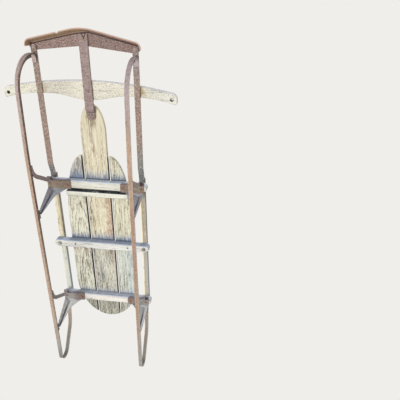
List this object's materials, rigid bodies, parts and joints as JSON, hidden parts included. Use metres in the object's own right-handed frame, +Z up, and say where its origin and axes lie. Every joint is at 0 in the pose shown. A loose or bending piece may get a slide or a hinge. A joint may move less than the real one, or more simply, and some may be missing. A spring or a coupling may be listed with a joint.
{
  "type": "sled",
  "caption": "Child's steering sled: slatted wooden deck on cross benches, steel knees and sprung steel runners, and a pivoting wooden steering bar behind a steel front bumper.",
  "frame": {"origin": "on the ground under the middle of the sled's length and width", "axes": "+Z up, -Y towards the front bumper, +X towards the right-hand side of the picture, so the sled's own left side when facing forward"},
  "size_m": [0.49, 1.0655, 0.1446],
  "materials": {
    "deck_wood": "bare weathered boards, dark grain",
    "bench_wood": "bare weathered wood with traces of blue-grey paint",
    "bar_wood": "bare weathered wood",
    "runner_steel": "worn paint over brown rust, running faces bare",
    "knee_steel": "worn blue-grey paint with brown rust",
    "strap_steel": "worn grey paint with brown rust",
    "rusted_steel": "brown rust"
  },
  "bodies": {
    "frame": {"bench_front": "bench_wood", "bench_middle": "bench_wood", "bench_rear": "bench_wood", "bumper": "strap_steel", "centre_strap": "strap_steel", "cleat": "bench_wood", "deck_board_centre": "deck_wood", "deck_board_left": "deck_wood", "deck_board_right": "deck_wood", "knee_front_left": "knee_steel", "knee_front_right": "knee_steel", "knee_rear_left": "knee_steel", "knee_rear_right": "knee_steel", "pivot_bolt": "rusted_steel", "runner_left": "runner_steel", "runner_right": "runner_steel", "side_rail_left": "deck_wood", "side_rail_right": "deck_wood", "side_strap_left": "strap_steel", "side_strap_right": "strap_steel"},
    "steering": {"steering_bar": "bar_wood", "crossing_bolts": "rusted_steel"}
  },
  "joints": [
    {"name": "steer", "type": "hinge", "parent": "frame", "child": "steering", "pos_m": [0, -0.374, 0.1323], "axis": [0, 0, 1], "range_deg": [-12, 12]}
  ]
}
